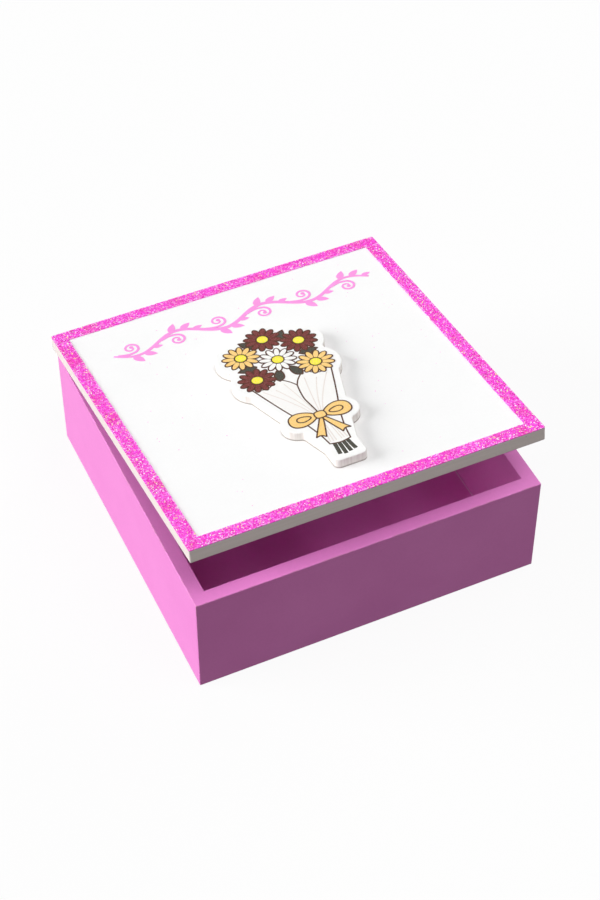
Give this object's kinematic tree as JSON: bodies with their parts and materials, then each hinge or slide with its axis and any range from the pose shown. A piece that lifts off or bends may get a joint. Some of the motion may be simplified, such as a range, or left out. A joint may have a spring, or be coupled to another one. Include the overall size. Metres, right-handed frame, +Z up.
{
  "type": "keepsake box",
  "caption": "Square painted wooden keepsake box with a hinged white lid, a glitter tape border and a cut-out flower plaque.",
  "frame": {"origin": "centre of the box's underside, on the surface that it stands on", "axes": "+X to the right along the front, +Y to the hinged back, +Z up"},
  "size_m": [0.151, 0.1555, 0.081],
  "materials": {
    "pink_paint": "satin pink paint on fibreboard",
    "white_paint": "satin white paint on fibreboard",
    "plaque_board": "white board with a flat colour print on top",
    "glitter_tape": "hot pink glitter under clear film",
    "hinge_brass": "polished brass",
    "screw_brass": "brass, turned"
  },
  "bodies": {
    "box": {"front_wall": "pink_paint", "back_wall": "pink_paint", "left_wall": "pink_paint", "right_wall": "pink_paint", "bottom_panel": "pink_paint", "left_hinge_box_leaf": "hinge_brass", "left_hinge_pin": "hinge_brass", "left_hinge_box_screws": "screw_brass", "right_hinge_box_leaf": "hinge_brass", "right_hinge_pin": "hinge_brass", "right_hinge_box_screws": "screw_brass"},
    "lid": {"lid_panel": "white_paint", "plaque": "plaque_board", "glitter_strip_front": "glitter_tape", "glitter_strip_back": "glitter_tape", "glitter_strip_left": "glitter_tape", "glitter_strip_right": "glitter_tape", "left_hinge_lid_leaf": "hinge_brass", "left_hinge_lid_screws": "screw_brass", "right_hinge_lid_leaf": "hinge_brass", "right_hinge_lid_screws": "screw_brass"}
  },
  "joints": [
    {"name": "lid_hinge", "type": "hinge", "parent": "box", "child": "lid", "pos_m": [0, 0.0767, 0.05015], "axis": [-1, 0, 0], "range_deg": [-8.9, 116.1]}
  ]
}
